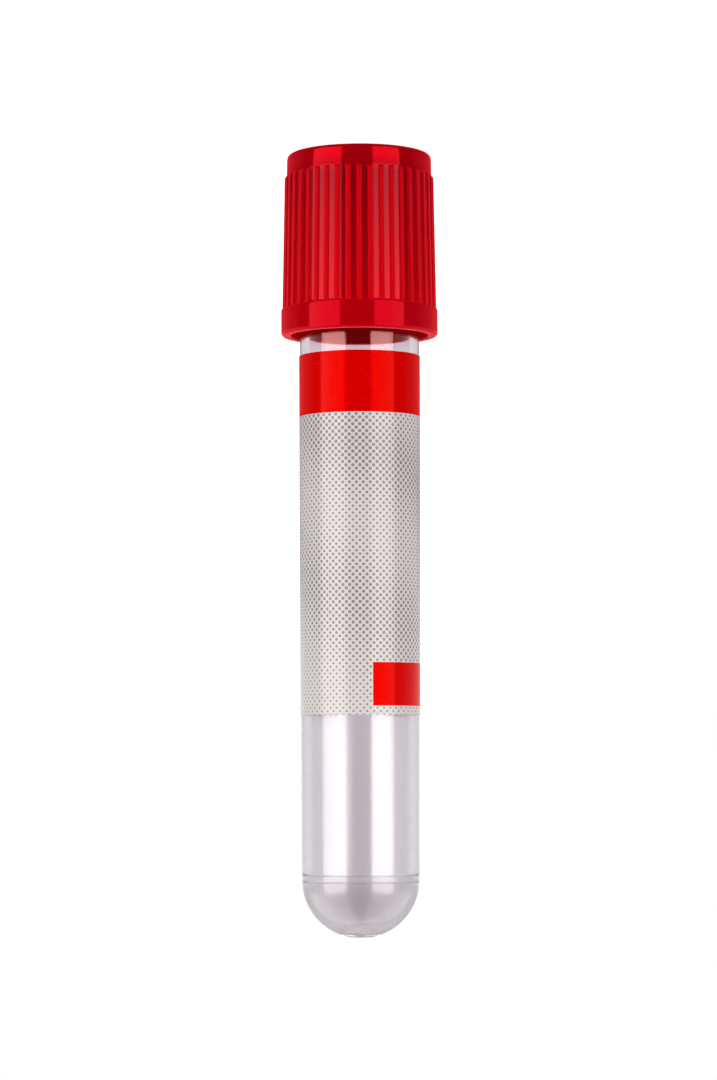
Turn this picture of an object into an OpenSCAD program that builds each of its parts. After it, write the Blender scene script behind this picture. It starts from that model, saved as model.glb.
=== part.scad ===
// Evacuated blood collection tube, 13 x 75 mm, with a ribbed twist-and-pull closure.
//
// Every piece is drawn round its own long axis: z = 0 is the flat at the pole of the
// round end and +z runs towards the cap. standing() then turns the finished piece over
// and stands it on the flat top of its cap, because the closed tube rolls on its side
// and can't stand on its round end. Angles round the tube are counted from its -y side,
// positive towards +x, as drawn; the -y side stays there when the piece is turned over.

/* [Tube] */
// Length of the tube from its round end to its mouth
tube_len = 75; // [66:0.5:125]
// Outer diameter of the tube at its mouth
tube_d = 13; // [12:0.1:16]
// Wall thickness at the mouth
tube_wall = 1; // [0.7:0.05:1.4]
// Draft that the radius loses between the mouth and the round end
tube_draft = 0.13; // [0:0.01:0.25]
// Thickness of the round end at its pole
end_t = 1.3; // [1:0.1:2]
// Length of the straight bore that the stopper seals in, below the mouth
seat_len = 9.5; // [8.5:0.5:16]
// Diameter of the small flat at the pole
pole_flat_d = 2.5; // [1:0.1:3]
// Diameter of the gate pad inside its groove
gate_pad_d = 3.7; // [3.1:0.1:4]
// Width of the groove round the gate pad
gate_groove_w = 0.6; // [0.3:0.1:1]
// Depth of the groove round the gate pad
gate_groove_depth = 0.1; // [0.05:0.05:0.4]
// Width of the mould parting groove where the barrel meets the round end
parting_w = 0.5; // [0.2:0.05:1]
// Depth of the mould parting groove
parting_depth = 0.04; // [0.01:0.01:0.1]

/* [Label] */
// Height of the label's lower edge above the pole
label_from = 24; // [10:0.5:26]
// Height of the label
label_h = 38.9; // [24:0.1:39.5]
// Thickness of the label film with its glue
label_t = 0.1; // [0.06:0.01:0.2]
// Width of the clear window that the label leaves down the back
label_window_w = 6; // [2:0.5:12]
// Height of the red band printed along the label's upper edge
band_print_h = 6.6; // [3:0.1:12]
// Height of the red block printed near the label's lower edge
block_print_h = 4.65; // [2:0.05:8]
// Width of the red block, measured round the tube
block_print_w = 10; // [4:0.5:12]
// Distance of the red block above the label's lower edge
block_print_inset = 0.95; // [0.5:0.05:3]
// Angle round the tube at which the red block starts
block_print_angle = 12; // [0:1:30]
// Thickness of a printed ink field
ink_t = 0.04; // [0.02:0.01:0.08]

/* [Cap outside] */
// Overall length of the cap
cap_len = 19.7; // [17:0.1:24]
// How far the cap reaches down over the tube, from the mouth
cap_reach = 9.8; // [8:0.1:11]
// Outer diameter of the smooth skirt
skirt_d = 17; // [16.8:0.1:19]
// Length of the smooth skirt
skirt_len = 3; // [2.5:0.1:5]
// Rounding of the skirt's lower edge
skirt_round = 0.35; // [0.2:0.05:0.7]
// Rounding of the skirt's upper edge
skirt_top_round = 0.25; // [0.1:0.05:0.4]
// Diameter of the grip between its ribs, just above the skirt
grip_d = 16.28; // [16:0.02:16.4]
// Diameter of the grip at the top of the cap
grip_top_d = 15.64; // [15.5:0.02:16]
// Length of the smooth band above the ribs
top_band_len = 2.2; // [1.5:0.1:4]
// Rounding of the cap's upper edge
top_round = 0.5; // [0.3:0.1:1.2]
// Number of grip ribs
rib_count = 42; // [24:1:46]
// Width of one rib
rib_w = 0.65; // [0.4:0.05:0.8]
// Height of a rib above the grip
rib_h = 0.23; // [0.1:0.01:0.3]
// Length of the slope at the upper end of a rib
rib_slope_len = 0.4; // [0.2:0.05:1]

/* [Cap inside] */
// Diameter of the skirt's mouth
skirt_mouth_d = 14.9; // [14.2:0.1:15.2]
// Depth of the wider part of the skirt's mouth
skirt_mouth_len = 2.4; // [1:0.1:3]
// Thickness of the cap's top flange
top_flange_t = 1.5; // [1:0.1:2]
// Running gap between the tube and the cap's socket
socket_gap = 0.35; // [0.3:0.05:0.6]

/* [Stopper] */
// Diameter of the stopper's flange
stopper_flange_d = 14.5; // [14.3:0.1:14.8]
// Thickness of the stopper's flange
stopper_flange_t = 4; // [3:0.1:5]
// Length of the plug that enters the tube
plug_len = 7.4; // [5:0.1:8]
// Chamfer at the tip of the plug
plug_chamfer = 0.6; // [0.2:0.1:1]
// Diameter of the recess in the tip of the plug
plug_recess_d = 6.4; // [4:0.1:7]
// Depth of the recess in the tip of the plug
plug_recess_depth = 4.2; // [2:0.1:5]
// Diameter of the needle well in the top of the stopper
well_d = 7.2; // [5:0.1:8]
// Depth of the needle well in the top of the stopper
well_depth = 3.3; // [1:0.1:4]

/* [Cap ring] */
// Outer diameter of the ring that clamps the stopper
ring_d = 11.6; // [11:0.1:12.4]
// Diameter of the needle opening through the ring
needle_opening_d = 8.8; // [8:0.1:9.4]
// Depth of the ring's top face below the top of the cap
ring_recess = 0.2; // [0:0.05:0.4]
// Height by which the ring's snap bead stands proud
ring_bead = 0.25; // [0.1:0.05:0.4]
// Chamfer round the needle opening
ring_chamfer = 0.3; // [0.1:0.05:0.5]

/* [Fits] */
// Radial gap between the plug and the tube's seat, which the rubber fills on the real tube
plug_gap = 0.03; // [0.01:0.01:0.08]
// Gap between the tube's mouth and the stopper's flange
mouth_gap = 0.02; // [0.01:0.01:0.05]
// Gap between pieces that are pressed or snapped together
snug_gap = 0.02; // [0.01:0.01:0.04]

/* [Hidden] */
$fn = 96;

// Margin by which a cutting shape runs past what it cuts
cut = 1;
// Number of straight steps in a quarter round
round_steps = 8;
// Widest angle that one step of a sector's outline spans
sector_step = 20;

tube_color = [0.86, 0.83, 0.87, 0.4];
label_color = [0.90, 0.88, 0.86];
print_color = [0.88, 0.03, 0.02];
cap_color = [0.80, 0.01, 0.05];
rubber_color = [0.42, 0.40, 0.40];

// Round end of the tube
end_r = tube_d / 2 - tube_draft;
end_centre_z = sqrt(end_r * end_r - pow(pole_flat_d / 2, 2));
seat_r = tube_d / 2 - tube_wall;
seat_z = tube_len - seat_len;
end_bore_r = end_r - tube_wall;
end_bore_z = end_t + end_bore_r;

// Label, built on the drafted barrel
label_to = label_from + label_h;
block_from = label_from + block_print_inset;
window_angle = label_window_w / radius_at(label_from) * 180 / PI;
block_angle = block_print_w / radius_at(label_from) * 180 / PI;

// Levels of the closure along the tube
closure_z = tube_len + mouth_gap;
skirt_z = closure_z - cap_reach;
grip_z = skirt_z + skirt_len;
cap_top_z = skirt_z + cap_len;
rib_top_z = cap_top_z - top_band_len;
flange_top_z = closure_z + stopper_flange_t;
pocket_top_z = cap_top_z - top_flange_t;
ring_top_z = cap_top_z - ring_recess;
ring_r = ring_d / 2;

// Outer radius of the barrel at a height above the pole
function radius_at(z) = end_r + tube_draft * (z - end_centre_z) / (tube_len - end_centre_z);

// Outer radius of the grip between its ribs
function grip_r_at(z) =
    (grip_d + (grip_top_d - grip_d) * (z - grip_z) / (cap_top_z - grip_z)) / 2;

// Points of an arc about [r, z] from angle a0 to angle a1
function arc(r, z, radius, a0, a1) =
    [for (i = [0 : round_steps])
        let (a = a0 + (a1 - a0) * i / round_steps)
        [r + radius * cos(a), z + radius * sin(a)]];

// Turns a piece over and stands it on its cap, with the floor at z = 0
module standing() {
    translate([0, 0, cap_top_z])
        rotate([0, 180, 0])
            children();
}

// Cone between two heights, drafted as the barrel is, with its radius raised by lift
module barrel_cone(z0, z1, lift) {
    translate([0, 0, z0])
        cylinder(r1 = radius_at(z0) + lift, r2 = radius_at(z1) + lift, h = z1 - z0);
}

// Upright prism over the angles from a0 to a1, reaching well past the barrel
module sector(z0, z1, a0, a1) {
    steps = ceil((a1 - a0) / sector_step);
    rim = [for (i = [0 : steps])
        let (a = a0 + (a1 - a0) * i / steps)
        [tube_d * sin(a), -tube_d * cos(a)]];
    translate([0, 0, z0])
        linear_extrude(z1 - z0)
            polygon(concat([[0, 0]], rim));
}

// Thin film wrapped on the barrel from z0 to z1, its glued side raised by lift
module film(z0, z1, lift, thickness) {
    difference() {
        barrel_cone(z0, z1, lift + thickness);
        barrel_cone(z0 - cut, z1 + cut, lift);
    }
}

// Strip of the barrel's back that the label leaves clear
module window() {
    sector(label_from - cut, label_to + cut,
        180 - window_angle / 2, 180 + window_angle / 2);
}

// Clear moulded barrel with a round end, a straight seat at its mouth and the gate's pad
module tube_solid() {
    difference() {
        union() {
            translate([0, 0, end_centre_z])
                sphere(r = end_r);
            barrel_cone(end_centre_z, tube_len, 0);
        }
        // Flat at the pole
        translate([0, 0, -cut - end_r])
            cylinder(r = tube_d, h = cut + end_r);
        tube_bore();
        gate_groove();
        parting_groove();
    }
}

// Inside of the tube: round, then drafted, then straight at the seat
module tube_bore() {
    translate([0, 0, end_bore_z])
        sphere(r = end_bore_r);
    translate([0, 0, end_bore_z])
        cylinder(r1 = end_bore_r, r2 = seat_r, h = seat_z - end_bore_z);
    translate([0, 0, seat_z])
        cylinder(r = seat_r, h = seat_len + cut);
}

// Shallow ring round the gate pad
module gate_groove() {
    groove_r = gate_pad_d / 2 + gate_groove_w;
    rim_z = end_centre_z - sqrt(end_r * end_r - groove_r * groove_r);
    translate([0, 0, -cut])
        difference() {
            cylinder(r = groove_r, h = rim_z + gate_groove_depth + cut);
            cylinder(r = gate_pad_d / 2, h = rim_z + gate_groove_depth + cut);
        }
}

// Fine groove left by the mould where barrel and round end meet
module parting_groove() {
    translate([0, 0, end_centre_z])
        difference() {
            cylinder(r = tube_d, h = parting_w);
            translate([0, 0, -cut])
                cylinder(r = end_r - parting_depth, h = parting_w + 2 * cut);
        }
}

module tube() {
    color(tube_color)
        standing()
            tube_solid();
}

module label() {
    color(label_color)
        standing()
            difference() {
                film(label_from, label_to, snug_gap, label_t);
                window();
            }
}

// Red field along the label's upper edge
module label_band() {
    color(print_color)
        standing()
            difference() {
                film(label_to - band_print_h, label_to, 2 * snug_gap + label_t, ink_t);
                window();
            }
}

// Red field near the label's lower edge, on one side
module label_block() {
    color(print_color)
        standing()
            intersection() {
                film(block_from, block_from + block_print_h, 2 * snug_gap + label_t, ink_t);
                sector(label_from, label_to,
                    block_print_angle, block_print_angle + block_angle);
            }
}

// Outline of the cap without its ribs
module cap_profile() {
    polygon(concat(
        [[skirt_mouth_d / 2, skirt_z]],
        arc(skirt_d / 2 - skirt_round, skirt_z + skirt_round, skirt_round, -90, 0),
        arc(skirt_d / 2 - skirt_top_round, grip_z - skirt_top_round, skirt_top_round, 0, 90),
        [[grip_r_at(grip_z), grip_z]],
        arc(grip_r_at(cap_top_z) - top_round, cap_top_z - top_round, top_round, 0, 90),
        [
            [ring_r + snug_gap, cap_top_z],
            [ring_r + snug_gap, pocket_top_z],
            [stopper_flange_d / 2 + snug_gap, pocket_top_z],
            [stopper_flange_d / 2 + snug_gap, closure_z],
            [tube_d / 2 + socket_gap, closure_z],
            [tube_d / 2 + socket_gap, skirt_z + skirt_mouth_len],
            [skirt_mouth_d / 2, skirt_z + skirt_mouth_len]
        ]));
}

// Grip rib at angle 0, before its face is turned to the grip's cone
module rib_bar() {
    translate([-rib_w / 2, -skirt_d / 2, grip_z - skirt_top_round])
        cube([rib_w, skirt_d / 2 - stopper_flange_d / 2, rib_top_z - grip_z + skirt_top_round]);
}

// Drafted outer face of the ribs, sloping in to the grip at their upper ends
module rib_envelope() {
    foot_z = grip_z - skirt_top_round;
    slope_z = rib_top_z - rib_slope_len;
    rotate_extrude()
        polygon([
            [0, foot_z],
            [grip_r_at(foot_z) + rib_h, foot_z],
            [grip_r_at(slope_z) + rib_h, slope_z],
            [grip_r_at(rib_top_z), rib_top_z],
            [0, rib_top_z]
        ]);
}

module ribs() {
    intersection() {
        rib_envelope();
        for (i = [0 : rib_count - 1])
            rotate([0, 0, i * 360 / rib_count])
                rib_bar();
    }
}

module cap() {
    color(cap_color)
        standing() {
            rotate_extrude()
                cap_profile();
            ribs();
        }
}

// Ring snapped into the top flange, holding the stopper down on the cap's ledge
module cap_ring() {
    bead_z = pocket_top_z - snug_gap;
    color(cap_color)
        standing()
            rotate_extrude()
                polygon([
                    [needle_opening_d / 2, flange_top_z + snug_gap],
                    [ring_r, flange_top_z + snug_gap],
                    [ring_r, bead_z - 2 * ring_bead],
                    [ring_r + ring_bead, bead_z - ring_bead],
                    [ring_r + ring_bead, bead_z],
                    [ring_r, bead_z],
                    [ring_r, ring_top_z],
                    [needle_opening_d / 2 + ring_chamfer, ring_top_z],
                    [needle_opening_d / 2, ring_top_z - ring_chamfer]
                ]);
}

// Rubber stopper: a flange held in the cap, a plug in the tube, a thin septum between
module stopper() {
    plug_r = seat_r - plug_gap;
    tip_z = closure_z - plug_len;
    color(rubber_color)
        standing()
            rotate_extrude()
                polygon([
                    [0, tip_z + plug_recess_depth],
                    [plug_recess_d / 2, tip_z + plug_recess_depth],
                    [plug_recess_d / 2, tip_z],
                    [plug_r - plug_chamfer, tip_z],
                    [plug_r, tip_z + plug_chamfer],
                    [plug_r, closure_z],
                    [stopper_flange_d / 2, closure_z],
                    [stopper_flange_d / 2, flange_top_z],
                    [well_d / 2, flange_top_z],
                    [well_d / 2, flange_top_z - well_depth],
                    [0, flange_top_z - well_depth]
                ]);
}

tube();
label();
label_band();
label_block();
cap();
cap_ring();
stopper();
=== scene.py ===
"""Looks of an evacuated blood collection tube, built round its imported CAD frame.

Every piece is drawn in millimetres round the tube's own axis: z = 0 is the flat at the
pole of the round end, +z runs towards the cap, and the label's front faces -y. The datum
then turns the piece over and stands it on its cap, as the frame does.
"""

import logging
import math
from dataclasses import dataclass, field
from enum import Enum

import bmesh
import bpy
import numpy as np
from mathutils import Matrix, Vector

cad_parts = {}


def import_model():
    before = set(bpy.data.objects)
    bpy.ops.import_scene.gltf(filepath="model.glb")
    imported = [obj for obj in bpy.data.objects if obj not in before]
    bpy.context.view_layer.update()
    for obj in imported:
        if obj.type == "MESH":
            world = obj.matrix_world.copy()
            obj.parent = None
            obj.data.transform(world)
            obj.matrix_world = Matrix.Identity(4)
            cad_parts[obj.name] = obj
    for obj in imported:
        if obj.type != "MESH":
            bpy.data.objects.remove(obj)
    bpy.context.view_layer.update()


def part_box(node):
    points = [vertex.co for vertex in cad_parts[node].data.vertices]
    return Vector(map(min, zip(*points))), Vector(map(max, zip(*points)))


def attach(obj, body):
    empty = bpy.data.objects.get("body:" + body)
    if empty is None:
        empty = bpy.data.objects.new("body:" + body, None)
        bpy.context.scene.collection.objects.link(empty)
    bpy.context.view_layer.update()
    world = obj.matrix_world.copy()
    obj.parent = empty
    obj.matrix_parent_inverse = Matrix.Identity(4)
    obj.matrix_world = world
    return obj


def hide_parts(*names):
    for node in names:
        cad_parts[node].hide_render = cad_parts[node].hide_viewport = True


LOG = logging.getLogger("blood_collection_tube")

MM = 0.001
ON_AXIS = 1e-9
# A noise texture's values seldom lie outside these two.
NOISE_LOW, NOISE_HIGH = 0.3, 0.7
# A ray's depth of one kind is above this once it has met one such surface.
MET_ONE = 0.5

Point = tuple[float, float]
Row = tuple[float, float, float]
RowPair = tuple[Row, Row]
Face = tuple[int, ...]
Colour = tuple[float, float, float, float]
Shade = tuple[float, str]


class Body(Enum):
    """The rigid bodies of the frame that pieces ride on."""

    TUBE = "tube"
    CLOSURE = "closure"


class Corner(Enum):
    """How sharply a surface may turn before its edge is shown as an edge."""

    SOFT = math.radians(50)
    CRISP = math.radians(30)


class TubeZone(Enum):
    """Zones of the tube with a finish of their own, in the order of its materials."""

    BARREL = 0
    NECK = 1
    CORE_END = 2
    GATE_RING = 3
    PARTING_LINE = 4


class CapZone(Enum):
    """Zones of the cap with a finish of their own, in the order of its materials."""

    WALL_AND_RIBS = 0
    MOUTH = 1
    VALLEY = 2


# --------------------------------------------------------------------------------------
# Small tools
# --------------------------------------------------------------------------------------


def srgb(code: str) -> Colour:
    """Turns an sRGB hex colour into linear red, green, blue and alpha.

    Args:
        code: Six hex digits, with or without a leading #.

    Returns:
        The linear colour with an alpha of 1.
    """
    parts = [int(code.lstrip("#")[i : i + 2], 16) / 255 for i in (0, 2, 4)]
    linear = [c / 12.92 if c <= 0.04045 else ((c + 0.055) / 1.055) ** 2.4 for c in parts]
    return (*linear, 1.0)


def grey(value: float) -> Colour:
    """Gives a linear grey."""
    return (value, value, value, 1.0)


def ease(share: float) -> float:
    """Keeps a share between 0 and 1, and lets it start and end gently."""
    share = min(max(share, 0.0), 1.0)
    return share * share * (3 - 2 * share)


def put_in_scene(name: str, data: bpy.types.ID) -> bpy.types.Object:
    """Makes an object of a mesh, lamp or camera and links it to the scene."""
    obj = bpy.data.objects.new(name, data)
    bpy.context.scene.collection.objects.link(obj)
    return obj


def add_node(
    tree: bpy.types.NodeTree, kind: str, inputs: dict | None = None, **settings: object
) -> bpy.types.Node:
    """Adds one node, sets its properties, and fills or links its inputs.

    Args:
        tree: The node tree that the node goes into.
        kind: The node's type name.
        inputs: Input name or index to a value, or to what feeds it: an output socket, or
            a node, whose first output is then taken.
        settings: Properties of the node, by name.

    Returns:
        The new node.
    """
    node = tree.nodes.new(kind)
    for name, value in settings.items():
        setattr(node, name, value)
    for key, value in (inputs or {}).items():
        if isinstance(value, bpy.types.Node):
            value = value.outputs[0]
        if isinstance(value, bpy.types.NodeSocket):
            tree.links.new(value, node.inputs[key])
        else:
            node.inputs[key].default_value = value
    return node


def new_material(name: str) -> tuple[bpy.types.Material, bpy.types.NodeTree]:
    """Makes an empty node material and returns it with its tree."""
    material = bpy.data.materials.new(name)
    material.use_nodes = True
    material.node_tree.nodes.clear()
    return material, material.node_tree


def close_material(tree: bpy.types.NodeTree, surface: bpy.types.NodeSocket) -> None:
    """Ends a material's tree in its output."""
    add_node(tree, "ShaderNodeOutputMaterial", {"Surface": surface})


def let_lamps_through(
    tree: bpy.types.NodeTree, shader: bpy.types.Node, share: str
) -> bpy.types.NodeSocket:
    """Lets a share of the lamps' light through a clear or translucent surface.

    Args:
        tree: The material's tree.
        shader: The surface's own shader.
        share: Colour of the light that comes through.

    Returns:
        The socket of the finished surface.
    """
    through = add_node(tree, "ShaderNodeBsdfTransparent", {"Color": srgb(share)})
    path = add_node(tree, "ShaderNodeLightPath")
    mix = add_node(
        tree,
        "ShaderNodeMixShader",
        {0: path.outputs["Is Shadow Ray"], 1: shader, 2: through},
    )
    return mix.outputs[0]


def fill_ramp(ramp: bpy.types.Node, stops: list[tuple[float, Colour]]) -> None:
    """Sets a colour ramp's stops.

    Args:
        ramp: The ramp's node.
        stops: Positions from 0 to 1 in rising order, each with a linear colour.
    """
    elements = ramp.color_ramp.elements
    while len(elements) < len(stops):
        elements.new(1.0)
    for element, (at, colour) in zip(elements, stops):
        element.position = at
        element.color = colour


def shade_by_height(
    tree: bpy.types.NodeTree, stops: list[tuple[float, Colour]], start: float = 0.0
) -> bpy.types.NodeSocket:
    """Shades a surface by its height above the surface that the tube stands on.

    Args:
        tree: The material's tree.
        stops: Heights in millimetres in rising order, each with a linear colour.
        start: Height in millimetres at which the ramp starts.

    Returns:
        The socket of the shade.
    """
    reach = stops[-1][0] - start
    place = add_node(tree, "ShaderNodeTexCoord")
    height = add_node(tree, "ShaderNodeSeparateXYZ", {0: place.outputs["Object"]})
    level = add_node(
        tree,
        "ShaderNodeMapRange",
        {0: height.outputs["Z"], 1: start * MM, 2: (start + reach) * MM},
    )
    ramp = add_node(tree, "ShaderNodeValToRGB", {0: level})
    fill_ramp(ramp, [((at - start) / reach, colour) for at, colour in stops])
    return ramp.outputs[0]


@dataclass(frozen=True)
class Datum:
    """Where the tube's own axis stands in the frame."""

    pole_height: float

    @classmethod
    def from_frame(cls) -> "Datum":
        """Reads the height of the tube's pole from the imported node."""
        return cls(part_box("tube")[1].z)

    @property
    def matrix(self) -> Matrix:
        """Turns drawn millimetres over into the frame's metres."""
        rows = ((-MM, 0, 0, 0), (0, MM, 0, 0), (0, 0, -MM, self.pole_height), (0, 0, 0, 1))
        return Matrix(rows)

    def place(self, x: float, y: float, z: float) -> Vector:
        """Gives the frame's position of a drawn point."""
        return self.matrix @ Vector((x, y, z))


# --------------------------------------------------------------------------------------
# Outlines and meshes
# --------------------------------------------------------------------------------------


@dataclass
class Outline:
    """A half section of a turned piece, as radius and height, with rounded corners."""

    closed: bool = True
    # A row of vertices this far beyond each rounding keeps the smooth shading in it.
    guard: float = 0.04
    corners: list[tuple[float, float, float, int]] = field(default_factory=list)

    def to(self, r: float, z: float, rounding: float = 0.0, steps: int = 5) -> "Outline":
        """Adds a corner, rounded if a rounding is given."""
        self.corners.append((r, z, rounding, steps))
        return self

    def arc(
        self, r: float, z: float, radius: float, start: float, end: float, steps: int
    ) -> "Outline":
        """Adds an arc round a centre, between two angles in degrees."""
        for i in range(steps + 1):
            a = math.radians(start + (end - start) * i / steps)
            self.to(r + radius * math.cos(a), z + radius * math.sin(a))
        return self

    def trace(self) -> list[Point]:
        """Works out the outline's points, with its roundings.

        Returns:
            The points in order.
        """
        out: list[Point] = []
        count = len(self.corners)
        for i, (r, z, rounding, steps) in enumerate(self.corners):
            at_end = not self.closed and i in (0, count - 1)
            if rounding <= 0 or at_end:
                out.append((r, z))
                continue
            here = Vector((r, z))
            back = (Vector(self.corners[i - 1][:2]) - here).normalized()
            ahead = (Vector(self.corners[(i + 1) % count][:2]) - here).normalized()
            half = back.angle(ahead) / 2
            centre = here + (back + ahead).normalized() * rounding / math.sin(half)
            first = here + back * rounding / math.tan(half) - centre
            last = here + ahead * rounding / math.tan(half) - centre
            a0 = math.atan2(first.y, first.x)
            turn = (math.atan2(last.y, last.x) - a0 + math.pi) % math.tau - math.pi
            out.append(tuple(centre + first + back * self.guard))
            for k in range(steps + 1):
                a = a0 + turn * k / steps
                out.append(
                    (centre.x + rounding * math.cos(a), centre.y + rounding * math.sin(a))
                )
            out.append(tuple(centre + last + ahead * self.guard))
        return out


def new_mesh(name: str, verts: list[Row], faces: list[Face]) -> bpy.types.Mesh:
    """Makes a mesh of vertices and faces."""
    mesh = bpy.data.meshes.new(name)
    mesh.from_pydata(verts, [], faces)
    return mesh


def strip_faces(columns: int, rows: int) -> list[Face]:
    """Joins columns of vertices, each of them one closed loop, with four-sided faces.

    Args:
        columns: How many columns there are.
        rows: How many vertices each column has.

    Returns:
        The faces; the first and the last column are left open.
    """
    return [
        (k + i, k + rows + i, k + rows + (i + 1) % rows, k + (i + 1) % rows)
        for k in range(0, (columns - 1) * rows, rows)
        for i in range(rows)
    ]


def finish_mesh(mesh: bpy.types.Mesh, corner: Corner) -> bpy.types.Mesh:
    """Points a closed shell's faces outwards and shades it smooth between its edges."""
    work = bmesh.new()
    work.from_mesh(mesh)
    bmesh.ops.recalc_face_normals(work, faces=work.faces)
    work.to_mesh(mesh)
    work.free()
    mesh.shade_smooth()
    mesh.set_sharp_from_angle(angle=corner.value)
    return mesh


def spin(name: str, outline: Outline, segments: int, corner: Corner) -> bpy.types.Mesh:
    """Turns an outline into a closed round shell.

    Args:
        name: The mesh's name.
        outline: A closed outline, or an open one that starts and ends on the axis.
        segments: Faces round the shell.
        corner: How sharp an edge has to be to show.

    Returns:
        The mesh, in drawn millimetres.
    """
    angles = np.arange(segments) * (math.tau / segments)
    around = np.stack((np.sin(angles), -np.cos(angles)), 1)
    verts: list[Row] = []
    rings: list[list[int]] = []
    for r, z in outline.trace():
        start = len(verts)
        if r < ON_AXIS:
            verts.append((0.0, 0.0, z))
            rings.append([start] * segments)
        else:
            verts.extend((r * x, r * y, z) for x, y in around)
            rings.append(list(range(start, start + segments)))
    pairs = list(zip(rings, rings[1:]))
    if outline.closed:
        pairs.append((rings[-1], rings[0]))
    faces = []
    for low, high in pairs:
        for k in range(segments):
            n = (k + 1) % segments
            ring = [low[k], low[n], high[n], high[k]]
            face = [v for j, v in enumerate(ring) if v != ring[j - 1]]
            if len(face) > 2:
                faces.append(face)
    return finish_mesh(new_mesh(name, verts, faces), corner)


def repeat_round(
    name: str, sector: bpy.types.Mesh, count: int, join: float, finish: bpy.types.Material
) -> bpy.types.Mesh:
    """Repeats a sector round the axis with Geometry Nodes and joins the copies.

    Args:
        name: The new mesh's name.
        sector: One copy's mesh.
        count: How many copies go round.
        join: Vertices of neighbours that are closer than this become one.
        finish: The material that the tree sets.

    Returns:
        The whole mesh.
    """
    tree = bpy.data.node_groups.new("ribs_round_axis", "GeometryNodeTree")
    sizes = {"Rib Count": "Int", "Join Distance": "Float", "Finish": "Material"}
    for label, kind in {"Geometry": "Geometry", **sizes}.items():
        tree.interface.new_socket(label, in_out="INPUT", socket_type="NodeSocket" + kind)
    tree.interface.new_socket("Geometry", in_out="OUTPUT", socket_type="NodeSocketGeometry")
    given = add_node(tree, "NodeGroupInput")
    points = add_node(tree, "GeometryNodePoints", {"Count": given.outputs["Rib Count"]})
    index = add_node(tree, "GeometryNodeInputIndex")
    pitch = add_node(
        tree,
        "ShaderNodeMath",
        {0: math.tau, 1: given.outputs["Rib Count"]},
        operation="DIVIDE",
    )
    turn = add_node(tree, "ShaderNodeMath", {0: index, 1: pitch}, operation="MULTIPLY")
    spin_by = add_node(tree, "ShaderNodeCombineXYZ", {"Z": turn})
    copies = add_node(
        tree,
        "GeometryNodeInstanceOnPoints",
        {"Points": points, "Instance": given.outputs["Geometry"], "Rotation": spin_by},
    )
    real = add_node(tree, "GeometryNodeRealizeInstances", {0: copies})
    joined = add_node(
        tree,
        "GeometryNodeMergeByDistance",
        {"Geometry": real, "Distance": given.outputs["Join Distance"]},
    )
    dressed = add_node(
        tree,
        "GeometryNodeSetMaterial",
        {"Geometry": joined, "Material": given.outputs["Finish"]},
    )
    add_node(tree, "NodeGroupOutput", {0: dressed})
    carrier = put_in_scene(name + "_carrier", sector)
    modifier = carrier.modifiers.new("ribs", "NODES")
    modifier.node_group = tree
    values = {"Rib Count": count, "Join Distance": join, "Finish": finish}
    for item in tree.interface.items_tree:
        if item.in_out == "INPUT" and item.name in values:
            modifier[item.identifier] = values[item.name]
    graph = bpy.context.evaluated_depsgraph_get()
    mesh = bpy.data.meshes.new_from_object(carrier.evaluated_get(graph), depsgraph=graph)
    mesh.name = name
    mesh.materials.clear()
    carrier.modifiers.clear()
    bpy.data.objects.remove(carrier)
    return mesh


@dataclass
class Dresser:
    """Puts finished meshes into the scene as pieces of the frame."""

    datum: Datum

    def add(
        self,
        mesh: bpy.types.Mesh,
        materials: list[bpy.types.Material],
        body: Body,
        slot: str,
        stands_for: tuple[str, ...],
    ) -> None:
        """Args:
            mesh: The piece's mesh, in drawn millimetres.
            materials: Its materials, in the order of its faces' indices.
            body: The body that it rides on.
            slot: The record's material slot; not used.
            stands_for: The CAD nodes that it replaces.
        """
        mesh.transform(self.datum.matrix)
        for material in materials:
            mesh.materials.append(material)
        piece = put_in_scene(mesh.name, mesh)
        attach(piece, body.value)
        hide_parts(*stands_for)
        LOG.info("%s: %d faces, for %s", mesh.name, len(mesh.polygons), stands_for)


# --------------------------------------------------------------------------------------
# Finishes
# --------------------------------------------------------------------------------------


@dataclass(frozen=True)
class ClearPet:
    """Injection moulded PET: clear with a faint violet cast, and glossy all over.

    Its surfaces are a little soft, so the softboxes' edges are not drawn sharply in it.
    Shades, where given, are tints by height in millimetres above the floor: painted shade
    in the round end and a painted reflection of the cap's red in the neck.
    """

    tint: str = "#DED9DD"
    shades: tuple[Shade, ...] = ()
    glint: str = "#FFFFFF"
    ior: float = 1.575
    roughness: float = 0.16
    lamp_share: str = "#F0EEF0"
    name: str = "pet_clear_moulded"

    def build(self) -> bpy.types.Material:
        """Makes the material; lamps shine through it, as through the real wall."""
        material, tree = new_material(self.name)
        tint = srgb(self.tint)
        if self.shades:
            stops = [(at, srgb(code)) for at, code in self.shades]
            tint = shade_by_height(tree, stops, start=self.shades[0][0])
        wall = add_node(
            tree,
            "ShaderNodeBsdfPrincipled",
            {
                "Base Color": tint,
                "Roughness": self.roughness,
                "IOR": self.ior,
                "Specular Tint": srgb(self.glint),
                "Transmission Weight": 1.0,
            },
        )
        close_material(tree, let_lamps_through(tree, wall, self.lamp_share))
        return material


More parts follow.
